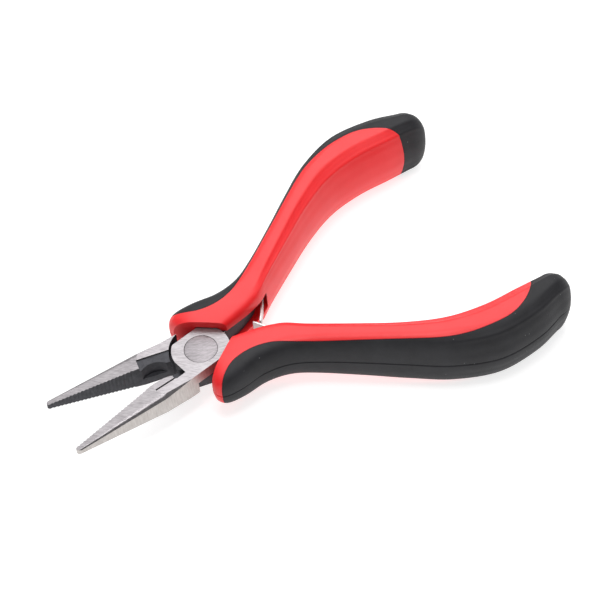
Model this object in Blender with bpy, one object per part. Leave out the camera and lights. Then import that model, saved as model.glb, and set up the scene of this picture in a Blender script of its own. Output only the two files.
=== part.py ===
"""Needle nose pliers with side cutters, a riveted lap joint, twin leaf springs and two-colour grips.

Frame: origin on the pivot axis at the underside of the joint, +X towards the jaw tips, +Z up.
Each lever is drawn in its own lever frame with the pliers shut: u runs from the pivot back along
the handle, v runs from the centre line out to the lever's own handle side, z is the height above
the joint's mid-plane. The jaws therefore lie at negative u and negative v. Lever B is lever A
turned half a turn about X. At rest the springs hold the levers open by REST_OPENING.
"""
import math

import bmesh
import bpy
from mathutils import Matrix, Vector

MM = 0.001

# Joint
HALF_JOINT = 3.35             # half the thickness of the lap joint
PLATE_RADIUS = 7.1            # round part of each half-lap plate
PLATE_CLEAR_RADIUS = 7.75     # relief in the other lever around that plate
PLATE_GAP = 0.1               # half the play between the two plates
PLATE_JAW_EDGE = -5.4         # straight plate edge on the jaw side
PLATE_HANDLE_EDGE = 5.7       # straight plate edge on the handle side
RIVET_RADIUS = 4.0
RIVET_PLAY = 0.08
REST_OPENING = 21.5           # degrees between the levers when the springs are relaxed

# Jaws
JAW_TIP = -38.5
JAW_TIP_HALF_HEIGHT = 0.75
JAW_TAPER_START = -15.0
JAW_ROOT = -4.0
JAW_BLOCK_END = -9.0          # where the jaw's straight outer edge ends
FACE_JAW_ROOT_EDGE = -6.6     # outer edge at the root of the jaw without a blade
JAW_TIP_WIDTH = 1.45
JAW_WIDTH = 5.2
JAW_FACE = -0.15              # gripping face, just short of the centre line
TOOTH_PITCH = 0.95
TOOTH_DEPTH = 0.2
TEETH = 22
JAW_CHAMFER = 0.9
CUTTER_BACK, CUTTER_FRONT = -7.0, -15.4
CUTTER_FACE = -0.1            # the blades nearly meet on the centre line
CUTTER_SHOULDER = -2.8        # where the flat of the jaw stops beside the blade
BLADE_SLOT_WIDTH = (1.3, 0.46)            # slot between that flat and the blade
BLADE_SLOT_DEPTH = (2.2, 0.75)        # back, front
BLADE_ROOT_Z = (2.1, 3.3)             # blade's top beside the slot: back, front
BLADE_EDGE_Z = (1.29, 3.25)           # blade's cutting edge: back, front
BLADE_FRONT_SHIFT = 0.6       # the slot leans towards the centre line at its front
BLADE_END, BLADE_END_RADIUS = -9.7, 0.9
NOTCH_FLOOR = 1.2             # a notch parts the blade from the round of the plate
NOTCH_LINE = ((-7.65, CUTTER_SHOULDER), (-7.1, CUTTER_FACE), (-7.45, 0.8))
RECESS_DROP = 0.4             # on the lever's far side
RECESS_EDGE_DROP = 1.15
SCALLOP_CENTRE, SCALLOP_RADIUS = (-11.9, 4.4), 5.5
SCALLOP_TOP = 1.1

# Tang: inner and outer edges in plan
TANG_HALF_HEIGHT = 2.3
TANG_INNER = [(6.0, 0.6), (10.0, 0.9), (14.0, 1.4), (17.5, 2.55), (19.0, 3.2), (22.0, 5.3), (26.0, 6.5),
              (34.0, 9.8), (44.0, 14.0), (54.0, 17.6), (62.0, 18.7)]
TANG_OUTER = [(62.0, 22.0), (54.0, 21.0), (44.0, 17.3), (34.0, 12.5), (26.0, 9.0),
              (20.0, 6.6), (16.0, 5.3), (12.0, 5.0), (8.0, 5.3), (2.0, 5.7)]

# Grip: matching inner and outer points of its plan, with the half height at each pair
# and how square the inner side is there
GRIP_SECTIONS = [
    ((8.4, 0.25), (-0.7, 9.9), 5.6, 7.0),
    ((10.6, 0.25), (-0.4, 12.0), 5.8, 7.0),
    ((12.6, 0.3), (1.5, 13.3), 5.95, 7.0),
    ((15.0, 0.4), (6.0, 12.6), 6.1, 7.0),
    ((18.0, 0.8), (12.2, 10.5), 6.25, 6.0),
    ((21.0, 1.6), (18.7, 10.3), 6.5, 5.0),
    ((26.0, 4.1), (25.2, 12.3), 6.85, 4.0),
    ((36.0, 8.4), (35.4, 16.9), 7.6, 3.1),
    ((46.6, 12.7), (45.2, 21.7), 8.3, 2.8),
    ((56.6, 15.2), (54.6, 26.0), 8.8, 2.7),
    ((66.0, 15.1), (65.8, 28.2), 9.1, 2.7),
    ((74.6, 13.7), (76.6, 25.7), 9.1, 2.7),
    ((81.2, 12.9), (83.8, 21.8), 8.9, 2.7),
]
GRIP_END_RADIUS = 5.7         # length of the rounded end past the last section
GRIP_ROUNDNESS = 2.7          # exponent of the superellipse section
GRIP_LAND = 8.8               # flat lands on top and underside stop the section at this height
GRIP_RING = 28
FRONT_POCKET_CLEARANCE = 0.3

# Edge between the core and the overmould, in plan, from the nose round to the inner side
OVERMOULD_EDGE = [(-1.6, 17.0), (0.4, 13.6), (2.6, 10.6), (6.0, 7.9), (10.6, 6.5), (15.4, 6.7),
                  (20.0, 8.3), (26.0, 10.9), (36.0, 15.3), (46.0, 19.8), (53.0, 22.6),
                  (59.0, 23.8), (65.0, 23.8), (70.6, 22.7), (75.0, 20.0), (78.0, 16.4),
                  (78.8, 13.4), (78.6, 8.0)]
MATERIAL_GAP = 0.15           # each side of that edge
TANG_CLEARANCE = 0.3

# Channel in the core's inner side, where the leaf spring stands out
CHANNEL_HALF_HEIGHT = 2.65
CHANNEL = [(-3.0, -6.0), (19.9, -6.0), (21.4, 0.3), (24.3, 5.0), (24.3, 6.0), (17.0, 4.0),
           (12.0, 3.6), (-3.0, 3.6)]

# Leaf springs
LEAF_ROOT = (23.3, 4.65)
LEAF_ANGLE = 46.0             # degrees between the relaxed leaf and its lever
LEAF_THICKNESS = 0.5
LEAF_HALF_HEIGHT = 1.5
LEAF_LENGTH_A = 9.6           # stops on the face of the other leaf
LEAF_LENGTH_B = 12.6          # reaches past the centre line


def arc(radius, start, end, steps, centre=(0.0, 0.0)):
    """Points of an arc, angles in degrees."""
    points = []
    for i in range(steps + 1):
        angle = math.radians(start + (end - start) * i / steps)
        points.append((centre[0] + radius * math.cos(angle), centre[1] + radius * math.sin(angle)))
    return points


def smooth(points, steps):
    """Catmull-Rom curve through points, with steps pieces per span."""
    pts = [Vector(p) for p in points]
    pts = [pts[0] * 2 - pts[1]] + pts + [pts[-1] * 2 - pts[-2]]
    out = []
    for i in range(1, len(pts) - 2):
        a, b, c, d = pts[i - 1:i + 3]
        for k in range(steps):
            t = k / steps
            out.append(0.5 * (b * 2 + (c - a) * t + (a * 2 - b * 5 + c * 4 - d) * t ** 2
                              + (b * 3 - a - c * 3 + d) * t ** 3))
    out.append(pts[-2].copy())
    return out


def shifted(points, distance):
    """An open curve moved sideways to its left by distance."""
    out = []
    for i, point in enumerate(points):
        before = Vector(points[max(i - 1, 0)])
        after = Vector(points[min(i + 1, len(points) - 1)])
        run = (after - before).normalized()
        out.append(Vector(point) + distance * Vector((-run.y, run.x)))
    return out


def from_bmesh(name, bm):
    """Scale a lever-frame bmesh to metres and make it an object with outward faces."""
    for vertex in bm.verts:
        u, v, z = vertex.co
        vertex.co = Vector((-u, -v, z)) * MM
    bmesh.ops.recalc_face_normals(bm, faces=bm.faces)
    mesh = bpy.data.meshes.new(name)
    bm.to_mesh(mesh)
    bm.free()
    obj = bpy.data.objects.new(name, mesh)
    bpy.context.collection.objects.link(obj)
    return obj


def prism(name, outline, low, high):
    """Upright prism of a plan outline. low and high are heights, or functions of u."""
    bm = bmesh.new()
    rings = []
    for level in (low, high):
        height = level if callable(level) else (lambda u, z=level: z)
        rings.append([bm.verts.new((p[0], p[1], height(p[0]))) for p in outline])
    count = len(outline)
    bm.faces.new(rings[0])
    bm.faces.new(rings[1])
    for i in range(count):
        j = (i + 1) % count
        bm.faces.new((rings[0][i], rings[0][j], rings[1][j], rings[1][i]))
    return from_bmesh(name, bm)


def boolean(target, tool, operation):
    """Apply an exact boolean and drop the tool."""
    modifier = target.modifiers.new("cut", 'BOOLEAN')
    modifier.solver = 'EXACT'
    modifier.operation = operation
    modifier.object = tool
    depsgraph = bpy.context.evaluated_depsgraph_get()
    mesh = bpy.data.meshes.new_from_object(target.evaluated_get(depsgraph))
    target.modifiers.clear()
    target.data = mesh
    bpy.data.objects.remove(tool)
    return target


def jaw_half_height(u):
    """Half height of the jaw at u: full at the joint, tapering to the tip."""
    share = min(1.0, (u - JAW_TIP) / (JAW_TAPER_START - JAW_TIP))
    return JAW_TIP_HALF_HEIGHT + (HALF_JOINT - JAW_TIP_HALF_HEIGHT) * share


def jaw_edge(u):
    """Outer edge of the jaw in plan."""
    share = (u - JAW_TIP) / (JAW_TAPER_START - JAW_TIP)
    return -(JAW_TIP_WIDTH + (JAW_WIDTH - JAW_TIP_WIDTH) * share)


def jaw_nose():
    """Tapered, toothed front of the jaw."""
    teeth_start = JAW_TIP + 0.7
    face = [(JAW_TAPER_START, JAW_FACE)]
    for i in range(TEETH, 0, -1):
        face.append((teeth_start + i * TOOTH_PITCH, JAW_FACE))
        face.append((teeth_start + (i - 0.5) * TOOTH_PITCH, JAW_FACE - TOOTH_DEPTH))
    face += [(teeth_start, JAW_FACE), (JAW_TIP + 0.25, JAW_FACE - 0.1), (JAW_TIP, JAW_FACE - 0.4),
             (JAW_TIP + 0.05, -0.95), (JAW_TIP + 0.35, -1.3), (JAW_TIP + 0.8, jaw_edge(JAW_TIP + 0.8)),
             (JAW_TAPER_START, jaw_edge(JAW_TAPER_START))]
    return prism("jaw_nose", face, lambda u: -jaw_half_height(u), jaw_half_height)


def root_line(u, root_edge):
    """Outer edge of the jaw between its straight part and its root."""
    share = (u - JAW_BLOCK_END) / (JAW_ROOT - JAW_BLOCK_END)
    return PLATE_JAW_EDGE + (root_edge - PLATE_JAW_EDGE) * share


def jaw_block(root_edge):
    """Full-thickness back of the jaw."""
    outline = [(JAW_TAPER_START, JAW_FACE), (JAW_TAPER_START + 0.3, CUTTER_FACE),
               (JAW_ROOT, CUTTER_FACE), (JAW_ROOT, root_edge),
               (JAW_BLOCK_END, PLATE_JAW_EDGE), (JAW_TAPER_START, jaw_edge(JAW_TAPER_START))]
    return prism("jaw_block", outline, -HALF_JOINT, HALF_JOINT)


def chamfer_bar(side, root_edge):
    """Cutter that breaks the jaw's outer edge on the top (side 1) or underside (side -1)."""
    bm = bmesh.new()
    rings = []
    for u, size in ((-7.4, 0.02), (JAW_TAPER_START, JAW_CHAMFER), (JAW_TIP - 1.0, 0.3)):
        edge = jaw_edge(u) if u <= JAW_TAPER_START else root_line(u, root_edge)
        z = jaw_half_height(max(u, JAW_TIP))
        rings.append([bm.verts.new((u, edge + size + 2.0, side * (z + 2.0))),
                      bm.verts.new((u, edge - 2.0, side * (z - size - 2.0))),
                      bm.verts.new((u, edge - 2.0, side * (z + 2.0)))])
    for low, high in zip(rings, rings[1:]):
        for i in range(3):
            j = (i + 1) % 3
            bm.faces.new((low[i], low[j], high[j]))
            bm.faces.new((low[i], high[j], high[i]))
    bm.faces.new(rings[0])
    bm.faces.new(rings[-1])
    return from_bmesh("chamfer", bm)


def lofted_bar(name, ends):
    """Bar between two (u, profile) ends whose (v, z) profiles match point for point."""
    bm = bmesh.new()
    rings = [[bm.verts.new((u, v, z)) for v, z in profile] for u, profile in ends]
    count = len(rings[0])
    bm.faces.new(rings[0])
    bm.faces.new(rings[1])
    for i in range(count):
        j = (i + 1) % count
        bm.faces.new((rings[0][i], rings[0][j], rings[1][j]))
        bm.faces.new((rings[0][i], rings[1][j], rings[1][i]))
    return from_bmesh(name, bm)


def blade_groove():
    """Slot and sunken blade on the lever's own side, running out towards the tip."""
    ends = []
    for i, u in enumerate((CUTTER_BACK, CUTTER_FRONT)):
        wall = CUTTER_SHOULDER + i * BLADE_FRONT_SHIFT
        slot_floor = HALF_JOINT - BLADE_SLOT_DEPTH[i]
        root = wall + BLADE_SLOT_WIDTH[i]
        slope = (BLADE_EDGE_Z[i] - BLADE_ROOT_Z[i]) / (CUTTER_FACE - root)
        beyond = BLADE_ROOT_Z[i] + slope * (1.0 - root)
        ends.append((u, [(wall, HALF_JOINT + 1.0), (wall, slot_floor), (root, slot_floor),
                         (root, BLADE_ROOT_Z[i]), (1.0, beyond), (1.0, HALF_JOINT + 1.0)]))
    return lofted_bar("blade_groove", ends)


def blade_notch():
    """Notch between the blade's rounded end and the round of the plate."""
    centre = (BLADE_END - BLADE_END_RADIUS, -0.05 - BLADE_END_RADIUS)
    outline = [(BLADE_END, CUTTER_SHOULDER)] + list(NOTCH_LINE) + [(centre[0], 0.8)]
    outline += arc(BLADE_END_RADIUS, 90.0, 0.0, 8, centre)
    return prism("blade_notch", outline, NOTCH_FLOOR, HALF_JOINT + 1.0)


def far_recess():
    """Sloping recess beside the blade on the lever's far side."""
    start = -HALF_JOINT + RECESS_DROP
    slope = (RECESS_EDGE_DROP - RECESS_DROP) / (CUTTER_FACE - CUTTER_SHOULDER)
    profile = [(CUTTER_SHOULDER, -HALF_JOINT - 1.0), (CUTTER_SHOULDER, start),
               (1.0, start + slope * (1.0 - CUTTER_SHOULDER)), (1.0, -HALF_JOINT - 1.0)]
    return lofted_bar("far_recess", ((CUTTER_BACK, profile), (CUTTER_FRONT, profile)))


def lever(name, has_blade):
    """One forged lever: toothed jaw, cutter, half-lap plate and tang.

    One lever carries the sunken blade; the other is the full-height face it closes on.
    """
    root_edge = PLATE_JAW_EDGE if has_blade else FACE_JAW_ROOT_EDGE
    plate = plate_outline(PLATE_RADIUS, root_edge, PLATE_HANDLE_EDGE)
    body = jaw_nose()
    body.name = name
    boolean(body, jaw_block(root_edge), 'UNION')
    boolean(body, prism("plate", plate, -HALF_JOINT, HALF_JOINT), 'UNION')
    for side in (1, -1):
        boolean(body, chamfer_bar(side, root_edge), 'DIFFERENCE')
    if has_blade:
        boolean(body, blade_groove(), 'DIFFERENCE')
        boolean(body, blade_notch(), 'DIFFERENCE')
    boolean(body, far_recess(), 'DIFFERENCE')
    scallop = arc(SCALLOP_RADIUS, 180.0, 360.0, 48, SCALLOP_CENTRE)
    boolean(body, prism("scallop", scallop, -HALF_JOINT - 1.0, SCALLOP_TOP), 'DIFFERENCE')
    tang_outline = smooth(TANG_INNER, 2) + smooth(TANG_OUTER, 2)
    boolean(body, prism("tang", tang_outline, -TANG_HALF_HEIGHT, TANG_HALF_HEIGHT), 'UNION')
    relief = arc(PLATE_CLEAR_RADIUS, 0.0, 360.0, 72)[:-1]
    boolean(body, prism("relief", relief, -HALF_JOINT - 1.0, PLATE_GAP), 'DIFFERENCE')
    hole = arc(RIVET_RADIUS + RIVET_PLAY, 0.0, 360.0, 48)[:-1]
    boolean(body, prism("hole", hole, -HALF_JOINT - 1.0, HALF_JOINT + 1.0), 'DIFFERENCE')
    return body


def grip_ring(bm, inner, outer, half_height, inner_squareness, shrink=1.0):
    """One superellipse ring of the grip standing between two plan points."""
    centre = (inner + outer) / 2
    half = (outer - inner) / 2 * shrink
    ring = []
    for k in range(GRIP_RING):
        angle = 2 * math.pi * k / GRIP_RING
        c, s = math.cos(angle), math.sin(angle)
        power = GRIP_ROUNDNESS if c > 0 else inner_squareness
        across = math.copysign(abs(c) ** (2 / power), c)
        rise = math.copysign(abs(s) ** (2 / power), s)
        z = max(-GRIP_LAND, min(GRIP_LAND, rise * half_height))
        spot = centre + half * across
        ring.append(bm.verts.new((spot.x, spot.y, z)))
    return ring


def grip_blank(name):
    """Whole outer shape of one grip as a closed loft."""
    stations = [(Vector(a), Vector(b), h, n) for a, b, h, n in GRIP_SECTIONS]
    packed = smooth([(a.x, a.y, b.x) for a, b, h, n in stations], 3)
    rest = smooth([(b.y, h, n) for a, b, h, n in stations], 3)
    bm = bmesh.new()
    rings = []
    for p, q in zip(packed, rest):
        rings.append(grip_ring(bm, Vector((p.x, p.y)), Vector((p.z, q.x)), q.y, q.z))
    inner, outer, height, inner_squareness = stations[-1]
    before = (stations[-2][0] + stations[-2][1]) / 2
    ahead = ((inner + outer) / 2 - before).normalized()
    for degrees in (20, 38, 54, 68, 80):
        angle = math.radians(degrees)
        step = ahead * GRIP_END_RADIUS * math.sin(angle)
        rings.append(grip_ring(bm, inner + step, outer + step, height * math.cos(angle) ** 0.75,
                               inner_squareness, math.cos(angle) ** 0.9))
    for low, high in zip(rings, rings[1:]):
        for i in range(GRIP_RING):
            j = (i + 1) % GRIP_RING
            bm.faces.new((low[i], low[j], high[j]))
            bm.faces.new((low[i], high[j], high[i]))
    bm.faces.new(rings[0])
    bm.faces.new(rings[-1])
    return from_bmesh(name, bm)


def overmould_region(name, margin):
    """Upright region outside the core's edge, moved outwards by margin."""
    edge = shifted(smooth(OVERMOULD_EDGE, 2), margin)
    beyond = [(110.0, 8.0), (110.0, 45.0), (-14.0, 45.0), (-14.0, 17.0)]
    return prism(name, [(p[0], p[1]) for p in edge] + beyond, -20.0, 20.0)


def plate_outline(radius, jaw_edge_v, handle_edge_v):
    """Round plate with straight edges on the jaw side and the handle side."""
    points = arc(radius, 0.0, 360.0, 72)[:-1]
    return [(u, max(jaw_edge_v, min(handle_edge_v, v))) for u, v in points]


def grip_core(name):
    """Red sleeve: hollow for the tang, open channel for the leaf, cleared round the joint."""
    core = grip_blank(name)
    boolean(core, overmould_region("outside", -MATERIAL_GAP), 'DIFFERENCE')
    gap = FRONT_POCKET_CLEARANCE
    own_plate = plate_outline(PLATE_RADIUS + gap, PLATE_JAW_EDGE - gap, PLATE_HANDLE_EDGE + gap)
    other_plate = arc(PLATE_CLEAR_RADIUS, 0.0, 360.0, 72)[:-1]
    boolean(core, prism("own_pocket", own_plate, -gap, HALF_JOINT + gap), 'DIFFERENCE')
    boolean(core, prism("other_pocket", other_plate, -HALF_JOINT - gap, PLATE_GAP), 'DIFFERENCE')
    boolean(core, prism("channel", CHANNEL, -CHANNEL_HALF_HEIGHT, CHANNEL_HALF_HEIGHT),
            'DIFFERENCE')
    inner = [p for p in shifted(smooth(TANG_INNER, 2), -TANG_CLEARANCE)]
    outer = [p for p in shifted(smooth(TANG_OUTER, 2), -TANG_CLEARANCE)]
    end = Vector((0.6, 0.2))
    cavity = inner + [inner[-1] + end, outer[0] + end] + outer
    half = TANG_HALF_HEIGHT + TANG_CLEARANCE
    boolean(core, prism("cavity", [(p[0], p[1]) for p in cavity], -half, half), 'DIFFERENCE')
    return core


def grip_overmould(name):
    """Black outer band and cap."""
    band = grip_blank(name)
    return boolean(band, overmould_region("outside", MATERIAL_GAP), 'INTERSECT')


def leaf_spring(name, length):
    """Flat spring leaf standing off its lever at LEAF_ANGLE, its root end rounded."""
    angle = math.radians(LEAF_ANGLE)
    along = Vector((-math.cos(angle), -math.sin(angle)))
    side = Vector((-along.y, along.x)) * LEAF_THICKNESS / 2
    root = Vector(LEAF_ROOT)
    tip = root + along * length
    outline = [root + side, root + side * 0.5 - along * 0.2, root - side * 0.5 - along * 0.2,
               root - side, tip - side, tip + side]
    return prism(name, [(p.x, p.y) for p in outline], -LEAF_HALF_HEIGHT, LEAF_HALF_HEIGHT)


def place(obj, which):
    """Turn a lever-frame object into the rest pose of lever 'a' or 'b'."""
    lift = Matrix.Translation((0.0, 0.0, HALF_JOINT * MM))
    half_opening = math.radians(REST_OPENING / 2)
    if which == "a":
        obj.matrix_world = lift @ Matrix.Rotation(half_opening, 4, 'Z')
    else:
        turn = Matrix.Rotation(-half_opening, 4, 'Z') @ Matrix.Rotation(math.pi, 4, 'X')
        obj.matrix_world = lift @ turn


def material(name, colour, roughness, metallic):
    """Plain Principled material."""
    mat = bpy.data.materials.new(name)
    mat.use_nodes = True
    shader = mat.node_tree.nodes["Principled BSDF"]
    shader.inputs["Base Color"].default_value = (*colour, 1.0)
    shader.inputs["Roughness"].default_value = roughness
    shader.inputs["Metallic"].default_value = metallic
    mat.diffuse_color = (*colour, 1.0)
    return mat


def main():
    for obj in list(bpy.data.objects):
        bpy.data.objects.remove(obj)
    looks = {
        "lever": ((0.46, 0.44, 0.45), 0.35, 1.0),
        "pivot_rivet": ((0.43, 0.41, 0.43), 0.35, 1.0),
        "leaf_spring": ((0.55, 0.54, 0.53), 0.25, 1.0),
        "grip_core": ((0.85, 0.07, 0.07), 0.45, 0.0),
        "grip_overmould": ((0.045, 0.047, 0.05), 0.6, 0.0),
    }
    for which in ("a", "b"):
        leaf_length = LEAF_LENGTH_A if which == "a" else LEAF_LENGTH_B
        made = {
            "lever": lever("lever_" + which, which == "a"),
            "leaf_spring": leaf_spring("leaf_spring_" + which, leaf_length),
            "grip_core": grip_core("grip_core_" + which),
            "grip_overmould": grip_overmould("grip_overmould_" + which),
        }
        for kind, obj in made.items():
            obj.name = obj.data.name = kind + "_" + which
            obj.data.materials.clear()
            obj.data.materials.append(material(obj.name, *looks[kind]))
            place(obj, which)
    rivet = prism("pivot_rivet", arc(RIVET_RADIUS, 0.0, 360.0, 48)[:-1], -HALF_JOINT, HALF_JOINT)
    rivet.data.materials.append(material("pivot_rivet", *looks["pivot_rivet"]))
    place(rivet, "a")


main()
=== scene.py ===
import math

import bmesh
import bpy
from mathutils import Matrix, Vector

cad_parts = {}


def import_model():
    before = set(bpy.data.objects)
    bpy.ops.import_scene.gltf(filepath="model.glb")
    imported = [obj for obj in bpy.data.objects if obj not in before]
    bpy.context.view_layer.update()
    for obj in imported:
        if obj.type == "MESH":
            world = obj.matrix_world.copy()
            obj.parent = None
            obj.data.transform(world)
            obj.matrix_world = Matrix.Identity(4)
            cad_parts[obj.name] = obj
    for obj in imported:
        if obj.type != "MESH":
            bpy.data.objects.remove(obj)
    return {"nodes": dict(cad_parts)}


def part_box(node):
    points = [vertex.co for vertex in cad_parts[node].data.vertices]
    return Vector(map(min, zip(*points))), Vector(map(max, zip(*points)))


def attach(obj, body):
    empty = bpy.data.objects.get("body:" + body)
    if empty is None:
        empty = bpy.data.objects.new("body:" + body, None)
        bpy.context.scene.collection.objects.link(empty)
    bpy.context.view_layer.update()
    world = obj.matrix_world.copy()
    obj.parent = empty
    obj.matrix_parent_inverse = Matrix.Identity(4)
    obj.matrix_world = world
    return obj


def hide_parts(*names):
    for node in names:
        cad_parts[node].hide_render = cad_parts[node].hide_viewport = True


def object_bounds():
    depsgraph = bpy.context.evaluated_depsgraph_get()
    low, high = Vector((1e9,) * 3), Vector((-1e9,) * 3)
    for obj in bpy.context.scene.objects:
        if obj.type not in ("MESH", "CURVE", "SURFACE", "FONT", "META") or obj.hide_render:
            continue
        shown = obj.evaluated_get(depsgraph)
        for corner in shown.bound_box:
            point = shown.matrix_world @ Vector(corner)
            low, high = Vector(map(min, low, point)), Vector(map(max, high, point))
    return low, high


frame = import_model()
CAD_LOW, CAD_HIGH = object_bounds()

MM = 0.001
HALF_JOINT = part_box("pivot_rivet")[1].z / MM / 2
REST_OPENING = 21.5           # degrees between the levers at rest

# Joint and rivet, in a lever's own frame: u back along the handle, v to its own side, z up
PLATE_RADIUS = 7.1
PLATE_CLEAR_RADIUS = 7.75
PLATE_GAP = 0.1
PLATE_JAW_EDGE = -5.4
PLATE_HANDLE_EDGE = 5.7
RIVET_RADIUS = 4.0

# Grip: matching inner and outer points of its plan, with the half height at each pair
# and how square the inner side is there
GRIP_SECTIONS = [
    ((8.4, 0.25), (-0.7, 9.9), 5.6, 7.0),
    ((10.6, 0.25), (-0.4, 12.0), 5.8, 7.0),
    ((12.6, 0.3), (1.5, 13.3), 5.95, 7.0),
    ((15.0, 0.4), (6.0, 12.6), 6.1, 7.0),
    ((18.0, 0.8), (12.2, 10.5), 6.25, 6.0),
    ((21.0, 1.6), (18.7, 10.3), 6.5, 5.0),
    ((26.0, 4.1), (25.2, 12.3), 6.85, 4.0),
    ((36.0, 8.4), (35.4, 16.9), 7.6, 3.1),
    ((46.6, 12.7), (45.2, 21.7), 8.3, 2.8),
    ((56.6, 15.2), (54.6, 26.0), 8.8, 2.7),
    ((66.0, 15.1), (65.8, 28.2), 9.1, 2.7),
    ((74.6, 13.7), (76.6, 25.7), 9.1, 2.7),
    ((81.2, 12.9), (83.8, 21.8), 8.9, 2.7),
]
GRIP_END_RADIUS = 5.7
GRIP_ROUNDNESS = 2.7
GRIP_LAND = 8.8
GRIP_RING = 112
GRIP_SPAN_STEPS = 8
INNER_RIDGE, OUTER_RIDGE = 131.0, 50.0        # degrees round the section
RIDGE_WIDTH, RIDGE_DEPTH = 6.0, 0.28
JAW_SHOULDER = 42.0           # percent of the jaw's top and chamfer rolled into each other
PARTING_ANGLE, PARTING_DEPTH = 0.6, 0.2
GRIP_INSET = 0.996            # the fine grip stays just inside the block-out's surface
OVERMOULD_EDGE = [(-1.6, 17.0), (0.4, 13.6), (2.6, 10.6), (6.0, 7.9), (10.6, 6.5), (15.4, 6.7),
                  (20.0, 8.3), (26.0, 10.9), (36.0, 15.3), (46.0, 19.8), (53.0, 22.6),
                  (59.0, 23.8), (65.0, 23.8), (70.6, 22.7), (75.0, 20.0), (78.0, 16.4),
                  (78.8, 13.4), (78.6, 8.0)]
MATERIAL_GAP = 0.04
CHANNEL_HALF_HEIGHT = 2.65
CHANNEL = [(-3.0, -6.0), (19.9, -6.0), (21.4, 0.3), (24.3, 5.0), (24.3, 6.0), (17.0, 4.0),
           (12.0, 3.6), (-3.0, 3.6)]
TANG_CAVITY_HALF_HEIGHT = 2.6
TANG_INNER = [(6.0, 0.6), (10.0, 0.9), (14.0, 1.4), (17.5, 2.55), (19.0, 3.2), (22.0, 5.3), (26.0, 6.5),
              (34.0, 9.8), (44.0, 14.0), (54.0, 17.6), (62.0, 18.7)]
TANG_OUTER = [(62.0, 22.0), (54.0, 21.0), (44.0, 17.3), (34.0, 12.5), (26.0, 9.0),
              (20.0, 6.6), (16.0, 5.3), (12.0, 5.0), (8.0, 5.3), (2.0, 5.7)]
TANG_CLEARANCE = 0.3


# ---------------------------------------------------------------- mesh helpers

def arc(radius, start, end, steps, centre=(0.0, 0.0)):
    points = []
    for i in range(steps + 1):
        angle = math.radians(start + (end - start) * i / steps)
        points.append((centre[0] + radius * math.cos(angle), centre[1] + radius * math.sin(angle)))
    return points


def smooth(points, steps):
    pts = [Vector(p) for p in points]
    pts = [pts[0] * 2 - pts[1]] + pts + [pts[-1] * 2 - pts[-2]]
    out = []
    for i in range(1, len(pts) - 2):
        a, b, c, d = pts[i - 1:i + 3]
        for k in range(steps):
            t = k / steps
            out.append(0.5 * (b * 2 + (c - a) * t + (a * 2 - b * 5 + c * 4 - d) * t ** 2
                              + (b * 3 - a - c * 3 + d) * t ** 3))
    out.append(pts[-2].copy())
    return out


def shifted(points, distance):
    out = []
    for i, point in enumerate(points):
        before = Vector(points[max(i - 1, 0)])
        after = Vector(points[min(i + 1, len(points) - 1)])
        run = (after - before).normalized()
        out.append(Vector(point) + distance * Vector((-run.y, run.x)))
    return out


def smoothstep(low, high, x):
    t = max(0.0, min(1.0, (x - low) / (high - low)))
    return t * t * (3 - 2 * t)


def from_bmesh(name, bm):
    for vertex in bm.verts:
        u, v, z = vertex.co
        vertex.co = Vector((-u, -v, z)) * MM
    bmesh.ops.recalc_face_normals(bm, faces=bm.faces)
    mesh = bpy.data.meshes.new(name)
    bm.to_mesh(mesh)
    bm.free()
    obj = bpy.data.objects.new(name, mesh)
    bpy.context.collection.objects.link(obj)
    return obj


def prism(name, outline, low, high):
    bm = bmesh.new()
    rings = [[bm.verts.new((p[0], p[1], level)) for p in outline] for level in (low, high)]
    count = len(outline)
    bm.faces.new(rings[0])
    bm.faces.new(rings[1])
    for i in range(count):
        j = (i + 1) % count
        bm.faces.new((rings[0][i], rings[0][j], rings[1][j], rings[1][i]))
    return from_bmesh(name, bm)


def applied(obj):
    """The object's mesh with its modifiers made real."""
    depsgraph = bpy.context.evaluated_depsgraph_get()
    mesh = bpy.data.meshes.new_from_object(obj.evaluated_get(depsgraph))
    obj.modifiers.clear()
    obj.data = mesh
    return obj


def boolean(target, tool, operation):
    modifier = target.modifiers.new("cut", 'BOOLEAN')
    modifier.solver = 'EXACT'
    modifier.operation = operation
    modifier.object = tool
    applied(target)
    bpy.data.objects.remove(tool)
    return target


def bevelled(obj, width, segments=3, angle=28.0, dissolve=0.5):
    """Merge flat facets, round the sharp edges by width (mm) and shade smooth."""
    bm = bmesh.new()
    bm.from_mesh(obj.data)
    bmesh.ops.remove_doubles(bm, verts=bm.verts, dist=1e-6)
    bmesh.ops.dissolve_limit(bm, angle_limit=math.radians(dissolve), verts=bm.verts,
                             edges=bm.edges, delimit={'MATERIAL'})
    bm.to_mesh(obj.data)
    bm.free()
    modifier = obj.modifiers.new("rounding", 'BEVEL')
    modifier.width = width * MM
    modifier.segments = segments
    modifier.limit_method = 'ANGLE'
    modifier.angle_limit = math.radians(angle)
    modifier.use_clamp_overlap = True
    modifier.harden_normals = True
    modifier.miter_outer = 'MITER_ARC'
    applied(obj)
    return obj


def shade(obj, angle=35.0):
    """Smooth shading, with real edges kept crisp."""
    obj.data.shade_smooth()
    mesh = obj.data
    bm = bmesh.new()
    bm.from_mesh(mesh)
    for edge in bm.edges:
        if len(edge.link_faces) == 2:
            edge.smooth = edge.calc_face_angle(0.0) < math.radians(angle)
    bm.to_mesh(mesh)
    bm.free()
    return obj


def lever_matrix(which):
    lift = Matrix.Translation((0.0, 0.0, HALF_JOINT * MM))
    half = math.radians(REST_OPENING / 2)
    if which == "a":
        return lift @ Matrix.Rotation(half, 4, 'Z')
    return lift @ Matrix.Rotation(-half, 4, 'Z') @ Matrix.Rotation(math.pi, 4, 'X')


def place(obj, which):
    obj.data.transform(lever_matrix(which))
    return obj


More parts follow.
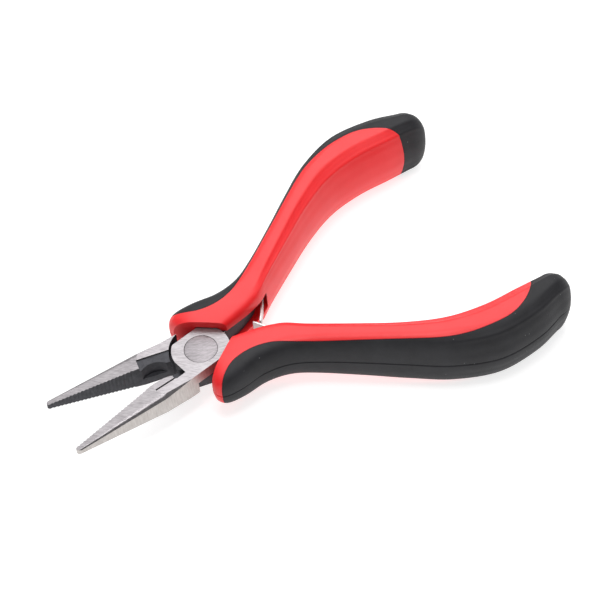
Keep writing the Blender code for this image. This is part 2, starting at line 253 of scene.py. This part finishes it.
def lever_point(which, point):
    """A row-frame point in millimetres of that lever's own frame."""
    local = lever_matrix(which).inverted() @ Vector(point)
    return Vector((-local.x, -local.y, local.z)) / MM


# ---------------------------------------------------------------- materials

class Nodes:
    """Short way to write a node tree."""

    def __init__(self, name):
        self.mat = bpy.data.materials.new(name)
        self.mat.use_nodes = True
        self.tree = self.mat.node_tree
        self.shader = self.tree.nodes["Principled BSDF"]
        self.where = self.tree.nodes.new("ShaderNodeTexCoord").outputs["Object"]

    def node(self, kind, inputs=None, **settings):
        n = self.tree.nodes.new("ShaderNode" + kind)
        for key, value in settings.items():
            setattr(n, key, value)
        for key, value in (inputs or {}).items():
            self.put(n.inputs[key], value)
        return n

    def put(self, socket, value):
        if isinstance(value, bpy.types.NodeSocket):
            self.tree.links.new(value, socket)
        else:
            socket.default_value = value

    def set(self, **values):
        for key, value in values.items():
            self.put(self.shader.inputs[key.replace("_", " ")], value)

    def turned(self, degrees, stretch):
        """Object coordinates turned about z, then scaled per metre."""
        spin = self.node("Mapping", {"Vector": self.where,
                                     "Rotation": (0.0, 0.0, math.radians(degrees))})
        return self.node("Mapping", {"Vector": spin.outputs[0], "Scale": stretch}).outputs[0]

    def noise(self, vector, scale=1.0, detail=3.0, roughness=0.6):
        return self.node("TexNoise", {"Vector": vector, "Scale": scale, "Detail": detail,
                                      "Roughness": roughness}).outputs["Fac"]

    def ramp(self, factor, stops):
        n = self.node("ValToRGB", {"Fac": factor})
        ramp = n.color_ramp
        while len(ramp.elements) < len(stops):
            ramp.elements.new(0.5)
        for element, (position, value) in zip(ramp.elements, stops):
            element.position = position
            element.color = (*value, 1.0) if isinstance(value, tuple) else (value,) * 3 + (1.0,)
        return n.outputs["Color"]

    def math(self, operation, a, b=0.0):
        n = self.node("Math", operation=operation)
        self.put(n.inputs[0], a)
        self.put(n.inputs[1], b)
        return n.outputs[0]

    def mix(self, factor, a, b):
        n = self.node("Mix", data_type='RGBA')
        self.put(n.inputs["Factor"], factor)
        self.put(n.inputs[6], a)
        self.put(n.inputs[7], b)
        return n.outputs[2]

    def range(self, value, low, high):
        return self.node("MapRange", {"Value": value, "To Min": low, "To Max": high}).outputs[0]

    def bump(self, height, strength, distance):
        n = self.node("Bump", {"Height": height, "Strength": strength, "Distance": distance})
        self.put(self.shader.inputs["Normal"], n.outputs[0])


def ground_steel(name, degrees, light, dark, roughness, grain=(420.0, 2700.0, 900.0)):
    """Ground steel with brushed streaks that run at an angle in plan."""
    n = Nodes(name)
    streak = n.noise(n.turned(-degrees, grain), 1.0, 5.0, 0.7)
    cross = n.noise(n.turned(-degrees - 24.0, tuple(1.4 * g for g in grain)), 1.0, 4.0, 0.7)
    patch = n.noise(n.turned(-degrees, (90.0, 300.0, 200.0)), 1.0, 3.0)
    fine = n.math('ADD', n.math('MULTIPLY', streak, 0.5), n.math('MULTIPLY', cross, 0.3))
    tone = n.math('ADD', fine, n.math('MULTIPLY', patch, 0.2))
    n.set(Metallic=1.0)
    n.set(Base_Color=n.ramp(tone, [(0.38, dark), (0.50, tuple((a + b) / 2 for a, b in
                                                             zip(light, dark))), (0.62, light)]))
    n.set(Roughness=n.range(streak, roughness - 0.08, roughness + 0.10))
    n.bump(fine, 0.4, 0.00003)
    return n.mat


def black_oxide(name):
    """Blackened, unground steel of the recesses and the jaw faces."""
    n = Nodes(name)
    cloud = n.noise(n.turned(0, (700.0, 700.0, 700.0)), 1.0, 5.0, 0.7)
    grain = n.noise(n.turned(0, (5000.0, 5000.0, 5000.0)), 1.0, 2.0)
    n.set(Metallic=0.5, Base_Color=n.ramp(cloud, [(0.3, (0.034, 0.034, 0.040)),
                                                 (0.75, (0.088, 0.088, 0.098))]))
    n.set(Specular_IOR_Level=0.35)
    n.set(Roughness=n.range(cloud, 0.42, 0.62))
    n.bump(grain, 0.3, 0.00004)
    return n.mat


def soft_red(name):
    """Satin red moulding: even colour with a faint mottle and a fine moulded grain."""
    n = Nodes(name)
    mottle = n.noise(n.turned(0, (160.0, 160.0, 160.0)), 1.0, 4.0)
    grain = n.noise(n.turned(0, (3800.0, 3800.0, 3800.0)), 1.0, 3.0, 0.7)
    n.set(Base_Color=n.ramp(mottle, [(0.25, (0.90, 0.014, 0.018)), (0.75, (0.96, 0.024, 0.030))]))
    n.set(Roughness=n.range(grain, 0.36, 0.50), IOR=1.5, Specular_IOR_Level=0.5)
    n.set(Subsurface_Weight=0.12, Subsurface_Radius=(0.004, 0.0008, 0.0006),
          Subsurface_Scale=0.5)
    n.bump(grain, 0.18, 0.00004)
    return n.mat


def matt_black(name):
    """Grippy matt black overmould with a fine texture, pale handling haze and dust specks."""
    n = Nodes(name)
    haze = n.noise(n.turned(0, (140.0, 140.0, 140.0)), 1.0, 5.0, 0.65)
    grain = n.noise(n.turned(0, (4200.0, 4200.0, 4200.0)), 1.0, 3.0, 0.75)
    specks = n.node("TexVoronoi", {"Vector": n.where, "Scale": 420.0}, feature='F1')
    dot = n.math('LESS_THAN', specks.outputs["Distance"], 0.055)
    base = n.ramp(haze, [(0.3, (0.010, 0.010, 0.012)), (0.75, (0.022, 0.022, 0.026))])
    n.set(Base_Color=n.mix(dot, base, (0.12, 0.12, 0.12, 1.0)))
    n.set(Roughness=n.range(grain, 0.50, 0.66), IOR=1.45, Specular_IOR_Level=0.42)
    n.bump(grain, 0.5, 0.00006)
    return n.mat


def spring_steel(name):
    """Bright rolled strip."""
    n = Nodes(name)
    streak = n.noise(n.turned(35, (400.0, 400.0, 5200.0)), 1.0, 4.0)
    n.set(Metallic=1.0, Base_Color=n.ramp(streak, [(0.3, (0.40, 0.38, 0.375)),
                                                  (0.7, (0.58, 0.565, 0.56))]))
    n.set(Roughness=n.range(streak, 0.22, 0.36))
    n.bump(streak, 0.12, 0.00003)
    return n.mat


STEEL_TOP = ground_steel("steel_top", -44.0, (0.385, 0.366, 0.377), (0.200, 0.186, 0.195), 0.40)
STEEL_SIDE = ground_steel("steel_side", 0.0, (0.62, 0.59, 0.57), (0.44, 0.41, 0.39), 0.46,
                          (2400.0, 2400.0, 380.0))
STEEL_DARK = black_oxide("blackened_steel")
RIVET_STEEL = ground_steel("rivet_steel", -30.0, (0.38, 0.353, 0.369), (0.185, 0.172, 0.180), 0.43)
RED = soft_red("red_moulding")
BLACK = matt_black("black_overmould")
SPRING = spring_steel("spring_strip")


# ---------------------------------------------------------------- grips

def bell(x, centre, width):
    return math.exp(-((x - centre) / width) ** 2)


def relief(angle, along):
    """Depth in millimetres that the moulded relief takes off the plain section."""
    a = abs((angle + 180.0) % 360.0 - 180.0)
    depth = 0.0
    ridge = RIDGE_DEPTH * smoothstep(14.0, 30.0, along)
    shoulder = smoothstep(100.0, 112.0, a) * (1.0 - smoothstep(158.0, 178.0, a))
    depth += ridge * shoulder * (1.0 - bell(a, INNER_RIDGE, RIDGE_WIDTH))
    crest = RIDGE_DEPTH * smoothstep(46.0, 66.0, along)
    shoulder = smoothstep(4.0, 20.0, a) * (1.0 - smoothstep(70.0, 84.0, a))
    depth += crest * shoulder * (1.0 - bell(a, OUTER_RIDGE, RIDGE_WIDTH))
    line = smoothstep(-0.5, 2.0, along) * (1.0 - smoothstep(80.0, 86.0, along))
    depth += PARTING_DEPTH * line * max(0.0, 1.0 - a / PARTING_ANGLE)
    return depth


def ring_angles():
    """Angles round a section, closer together at the parting line."""
    fine = [0.12, 0.3, 0.6, 1.2]
    even = [360.0 * k / GRIP_RING for k in range(1, GRIP_RING)]
    return [0.0] + fine + even + [360.0 - a for a in reversed(fine)]


def grip_ring(bm, inner, outer, half_height, inner_squareness, shrink=1.0):
    centre = (inner + outer) / 2
    half = (outer - inner) / 2 * shrink * GRIP_INSET
    width = half.length
    ring = []
    for degrees in ring_angles():
        angle = math.radians(degrees)
        c, s = math.cos(angle), math.sin(angle)
        power = GRIP_ROUNDNESS if c > 0 else inner_squareness
        across = math.copysign(abs(c) ** (2 / power), c)
        rise = math.copysign(abs(s) ** (2 / power), s)
        z = max(-GRIP_LAND, min(GRIP_LAND, rise * half_height * GRIP_INSET))
        normal = Vector((math.copysign(abs(across) ** (power - 1), c) / max(width, 0.5),
                         math.copysign(abs(rise) ** (power - 1), s) / half_height))
        normal.normalize()
        depth = relief(degrees, centre.x) * min(1.0, shrink ** 2)
        spot = centre + half * across - half.normalized() * normal.x * depth
        ring.append(bm.verts.new((spot.x, spot.y, z - normal.y * depth)))
    return ring


def grip_blank(name):
    stations = [(Vector(a), Vector(b), h, n) for a, b, h, n in GRIP_SECTIONS]
    packed = smooth([(a.x, a.y, b.x) for a, b, h, n in stations], GRIP_SPAN_STEPS)
    rest = smooth([(b.y, h, n) for a, b, h, n in stations], GRIP_SPAN_STEPS)
    bm = bmesh.new()
    rings = []
    for p, q in zip(packed, rest):
        rings.append(grip_ring(bm, Vector((p.x, p.y)), Vector((p.z, q.x)), q.y, q.z))
    inner, outer, height, inner_squareness = stations[-1]
    before = (stations[-2][0] + stations[-2][1]) / 2
    ahead = ((inner + outer) / 2 - before).normalized()
    for degrees in (7, 14, 21, 28, 35, 42, 49, 56, 62, 68, 73, 78, 80):
        angle = math.radians(degrees)
        step = ahead * GRIP_END_RADIUS * math.sin(angle)
        rings.append(grip_ring(bm, inner + step, outer + step, height * math.cos(angle) ** 0.75,
                               inner_squareness, math.cos(angle) ** 0.9))
    for low, high in zip(rings, rings[1:]):
        for i in range(len(low)):
            j = (i + 1) % len(low)
            bm.faces.new((low[i], low[j], high[j], high[i]))
    bm.faces.new(rings[0])
    bm.faces.new(rings[-1])
    return from_bmesh(name, bm)


def overmould_region(name, margin):
    edge = shifted(smooth(OVERMOULD_EDGE, 8), margin)
    beyond = [(110.0, 8.0), (110.0, 45.0), (-14.0, 45.0), (-14.0, 17.0)]
    return prism(name, [(p[0], p[1]) for p in edge] + beyond, -20.0, 20.0)


def plate_outline(radius, jaw_edge_v, handle_edge_v):
    points = arc(radius, 0.0, 360.0, 144)[:-1]
    return [(u, max(jaw_edge_v, min(handle_edge_v, v))) for u, v in points]


def grip_core(name):
    core = grip_blank(name)
    boolean(core, overmould_region("outside", -MATERIAL_GAP), 'DIFFERENCE')
    gap = 0.3
    own_plate = plate_outline(PLATE_RADIUS + gap, PLATE_JAW_EDGE - gap, PLATE_HANDLE_EDGE + gap)
    other_plate = arc(PLATE_CLEAR_RADIUS, 0.0, 360.0, 144)[:-1]
    boolean(core, prism("own_pocket", own_plate, -gap, HALF_JOINT + gap), 'DIFFERENCE')
    boolean(core, prism("other_pocket", other_plate, -HALF_JOINT - gap, PLATE_GAP), 'DIFFERENCE')
    boolean(core, prism("channel", CHANNEL, -CHANNEL_HALF_HEIGHT, CHANNEL_HALF_HEIGHT),
            'DIFFERENCE')
    inner = [p for p in shifted(smooth(TANG_INNER, 4), -TANG_CLEARANCE)]
    outer = [p for p in shifted(smooth(TANG_OUTER, 4), -TANG_CLEARANCE)]
    end = Vector((0.6, 0.2))
    cavity = inner + [inner[-1] + end, outer[0] + end] + outer
    half = TANG_CAVITY_HALF_HEIGHT
    boolean(core, prism("cavity", [(p[0], p[1]) for p in cavity], -half, half), 'DIFFERENCE')
    return core


def grip_overmould(name):
    band = grip_blank(name)
    return boolean(band, overmould_region("outside", MATERIAL_GAP), 'INTERSECT')


# ---------------------------------------------------------------- levers, rivet, springs

def copied(name, node):
    obj = bpy.data.objects.new(name, frame["nodes"][node].data.copy())
    bpy.context.collection.objects.link(obj)
    obj.data.materials.clear()
    return obj


def lever_faces(obj, which):
    """Ground top and underside, paler flanks, blackened recesses, jaw faces and tang."""
    for material in (STEEL_TOP, STEEL_SIDE, STEEL_DARK):
        obj.data.materials.append(material)
    frame_of = lever_matrix(which).inverted().to_3x3()
    for face in obj.data.polygons:
        p = lever_point(which, face.center)
        n = frame_of @ face.normal
        n = Vector((-n.x, -n.y, n.z))
        ground = abs(n.z) > 0.5 and abs(p.z) > HALF_JOINT - 0.05
        jaw = p.x < -7.0
        if jaw:
            blade = p.z > 1.5 and n.z > 0.5 and p.y > -1.7 and p.x < -8.9
            outside = n.y < -0.2 or (p.x < -37.5 and n.y < 0.3)
            nose = abs(n.z) > 0.5 and p.x < -15.3
            dark = not (ground or nose or blade or outside)
            chamfer = outside and abs(n.z) > 0.3
            face.material_index = 2 if dark else 0 if (ground or nose or blade or chamfer) else 1
        elif ground:
            face.material_index = 0
        else:
            face.material_index = 1 if n.y < -0.5 and p.x < 7.5 else 2
    return obj


def shoulder_edge(edge, which, turn):
    """Whether an edge is the long one between the jaw's tapered top and its chamfer."""
    ends = [lever_point(which, vertex.co) for vertex in edge.verts]
    outer = all(p.y < -0.8 and p.x < -14.5 for p in ends) and abs(ends[0].x - ends[1].x) > 3.0
    upright = all(abs((turn @ face.normal).z) > 0.3 for face in edge.link_faces)
    return outer and upright and edge.calc_face_angle(0.0) > math.radians(15)


def rounded_shoulder(obj, which):
    """Roll the top of the jaw over into its chamfer."""
    turn = lever_matrix(which).inverted().to_3x3()
    bm = bmesh.new()
    bm.from_mesh(obj.data)
    bmesh.ops.remove_doubles(bm, verts=bm.verts, dist=1e-6)
    bmesh.ops.dissolve_limit(bm, angle_limit=math.radians(0.5), verts=bm.verts,
                             edges=bm.edges, delimit={'MATERIAL'})
    edges = [edge for edge in bm.edges if shoulder_edge(edge, which, turn)]
    bmesh.ops.bevel(bm, geom=edges, offset=JAW_SHOULDER, offset_type='PERCENT', segments=8,
                    profile=0.5, affect='EDGES', clamp_overlap=False, loop_slide=True)
    bm.to_mesh(obj.data)
    bm.free()
    return obj


def fine_lever(which):
    obj = copied("lever_fine_" + which, "lever_" + which)
    lever_faces(obj, which)
    rounded_shoulder(obj, which)
    bevelled(obj, 0.06, 2)
    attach(obj, "lever_" + which)
    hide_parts("lever_" + which)
    return obj


def fine_rivet():
    rings = []
    bm = bmesh.new()
    for radius, drop in ((RIVET_RADIUS - 0.12, 0.0), (RIVET_RADIUS - 0.03, 0.03),
                         (RIVET_RADIUS, 0.12)):
        rings.append([bm.verts.new((p[0], p[1], HALF_JOINT - drop))
                      for p in arc(radius, 0.0, 360.0, 128)[:-1]])
    for radius, drop in ((RIVET_RADIUS, 0.12), (RIVET_RADIUS - 0.03, 0.03),
                         (RIVET_RADIUS - 0.12, 0.0)):
        rings.append([bm.verts.new((p[0], p[1], -HALF_JOINT + drop))
                      for p in arc(radius, 0.0, 360.0, 128)[:-1]])
    for low, high in zip(rings, rings[1:]):
        for i in range(128):
            j = (i + 1) % 128
            bm.faces.new((low[i], low[j], high[j], high[i]))
    bm.faces.new(rings[0])
    bm.faces.new(rings[-1])
    obj = place(from_bmesh("rivet_fine", bm), "a")
    obj.data.materials.append(RIVET_STEEL)
    shade(obj, 30.0)
    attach(obj, "lever_a")
    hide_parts("pivot_rivet")
    return obj


def fine_leaf(which):
    obj = copied("leaf_fine_" + which, "leaf_spring_" + which)
    obj.data.materials.append(SPRING)
    bevelled(obj, 0.08, 2)
    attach(obj, "leaf_" + which)
    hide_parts("leaf_spring_" + which)
    return obj


def fine_grip(which):
    core = place(grip_core("grip_core_fine_" + which), which)
    band = place(grip_overmould("grip_overmould_fine_" + which), which)
    core.data.materials.clear()
    core.data.materials.append(RED)
    band.data.materials.clear()
    band.data.materials.append(BLACK)
    for obj, node in ((core, "grip_core_" + which), (band, "grip_overmould_" + which)):
        shade(obj, 40.0)
        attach(obj, "lever_" + which)
        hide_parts(node)
    return core, band


for side in ("a", "b"):
    fine_lever(side)
    fine_leaf(side)
    fine_grip(side)
fine_rivet()


# ---------------------------------------------------------------- floor, light, camera

def plain(name, colour, roughness):
    n = Nodes(name)
    soft = n.noise(n.where, 2.0, 2.0)
    n.set(Base_Color=n.ramp(soft, [(0.0, colour), (1.0, tuple(c * 0.985 for c in colour))]),
          Roughness=roughness)
    return n.mat


def floor():
    mesh = bpy.data.meshes.new("floor")
    size, z = 3.0, CAD_LOW.z - 0.0002
    mesh.from_pydata([(-size, -size, z), (size, -size, z), (size, size, z), (-size, size, z)],
                     [], [(0, 1, 2, 3)])
    obj = bpy.data.objects.new("floor", mesh)
    bpy.context.collection.objects.link(obj)
    mesh.materials.append(plain("floor", (0.50, 0.50, 0.50), 0.9))
    shader = mesh.materials[0].node_tree.nodes["Principled BSDF"]
    shader.inputs["Emission Color"].default_value = (1.0, 1.0, 1.0, 1.0)
    shader.inputs["Emission Strength"].default_value = 0.74
    shader.inputs["Specular IOR Level"].default_value = 0.0


def lamp(name, location, aim, size, power):
    data = bpy.data.lights.new(name, 'AREA')
    data.shape = 'RECTANGLE'
    data.size, data.size_y = size
    data.energy = power
    obj = bpy.data.objects.new(name, data)
    bpy.context.collection.objects.link(obj)
    obj.location = location
    obj.rotation_euler = (Vector(aim) - Vector(location)).to_track_quat('-Z', 'Y').to_euler()


def world(low_strength, high_strength, towards):
    """White studio surround, brighter towards one direction."""
    sky = bpy.data.worlds.new("studio")
    bpy.context.scene.world = sky
    sky.use_nodes = True
    tree = sky.node_tree
    where = tree.nodes.new("ShaderNodeTexCoord")
    dot = tree.nodes.new("ShaderNodeVectorMath")
    dot.operation = 'DOT_PRODUCT'
    dot.inputs[1].default_value = Vector(towards).normalized()
    tree.links.new(where.outputs["Generated"], dot.inputs[0])
    spread = tree.nodes.new("ShaderNodeMapRange")
    spread.interpolation_type = 'SMOOTHSTEP'
    for socket, value in zip(("From Min", "From Max", "To Min", "To Max"),
                             (0.30, 1.0, low_strength, high_strength)):
        spread.inputs[socket].default_value = value
    tree.links.new(dot.outputs["Value"], spread.inputs["Value"])
    background = tree.nodes["Background"]
    background.inputs[0].default_value = (1.0, 1.0, 1.0, 1.0)
    tree.links.new(spread.outputs[0], background.inputs[1])


def camera():
    data = bpy.data.cameras.new("camera")
    data.sensor_width = 36.0
    data.lens = 122.30
    data.clip_start, data.clip_end = 0.01, 20.0
    obj = bpy.data.objects.new("camera", data)
    bpy.context.collection.objects.link(obj)
    obj.matrix_world = Matrix(((-0.85666, -0.43354, 0.27960, 0.11106),
                               (0.51162, -0.64440, 0.56833, 0.28279),
                               (-0.06622, 0.62991, 0.77384, 0.38990),
                               (0.0, 0.0, 0.0, 1.0)))
    bpy.context.scene.camera = obj


floor()
world(0.20, 1.05, (-0.25, -0.40, 0.88))
lamp("key", (-0.28, -0.46, 0.72), (-0.02, 0.0, 0.0), (0.6, 0.5), 2.5)
lamp("top", (0.02, 0.06, 0.85), (-0.02, 0.0, 0.0), (0.26, 0.20), 1.9)
lamp("fill", (0.45, 0.50, 0.60), (-0.02, 0.0, 0.0), (0.4, 0.4), 0.5)
camera()
bpy.context.scene.view_settings.view_transform = 'Standard'
